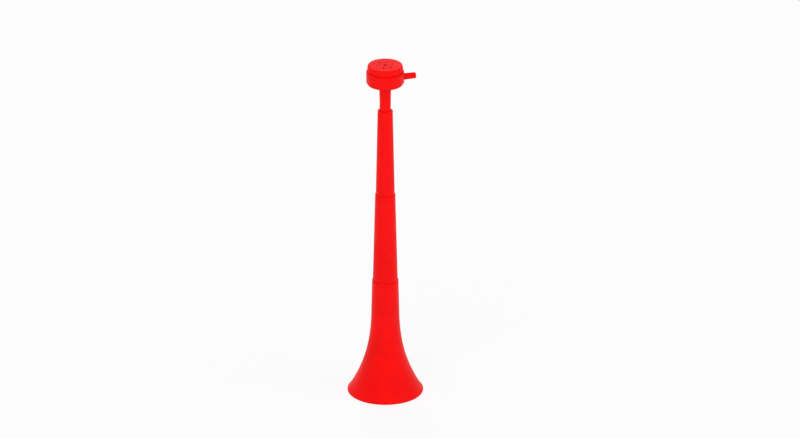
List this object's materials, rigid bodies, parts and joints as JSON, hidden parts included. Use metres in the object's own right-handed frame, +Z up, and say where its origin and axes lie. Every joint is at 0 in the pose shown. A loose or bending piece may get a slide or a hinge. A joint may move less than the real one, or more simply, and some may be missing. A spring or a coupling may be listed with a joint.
{
  "type": "stadium horn",
  "caption": "Telescopic plastic horn with a flared bell, two sliding tubes, and a side-blown diaphragm head under a screw cap.",
  "frame": {"origin": "centre of the bell's rim, on the surface that the horn stands on", "axes": "+Z up along the horn's axis from the bell to the cap, +X along the mouthpiece"},
  "size_m": [0.1288, 0.1288, 0.6],
  "materials": {
    "red_plastic": "moulded, semi-gloss",
    "ring_plastic": "moulded, satin",
    "film": "clear film",
    "gasket_rubber": "matt"
  },
  "bodies": {
    "bell_section": {"bell": "red_plastic"},
    "middle_section": {"middle_tube": "red_plastic"},
    "top_section": {"top_tube": "red_plastic"},
    "head": {"neck_tube": "red_plastic", "chamber_bowl": "red_plastic", "chamber_collar": "red_plastic", "mouthpiece": "red_plastic", "diaphragm_gasket": "gasket_rubber", "diaphragm": "film"},
    "clamp": {"clamp_ring": "ring_plastic"},
    "cap": {"screw_cap": "red_plastic"}
  },
  "joints": [
    {"name": "middle_slide", "type": "slide", "parent": "bell_section", "child": "middle_section", "axis": [0, 0, -1], "range_m": [0, 0.155]},
    {"name": "top_slide", "type": "slide", "parent": "middle_section", "child": "top_section", "axis": [0, 0, -1], "range_m": [0, 0.1503]},
    {"name": "head_turn", "type": "hinge", "parent": "top_section", "child": "head", "pos_m": [0, 0, 0.5172], "axis": [0, 0, 1], "continuous": true},
    {"name": "cap_lift", "type": "slide", "parent": "head", "child": "clamp", "axis": [0, 0, 1], "range_m": [0, 0.00361]},
    {"name": "cap_turn", "type": "hinge", "parent": "clamp", "child": "cap", "pos_m": [0, 0, 0.5884], "axis": [0, 0, 1], "range_deg": [0, 540]}
  ],
  "couplings": [
    {"joint": "cap_lift", "follows": "cap_turn", "m_per_rad": 0.00038197}
  ]
}
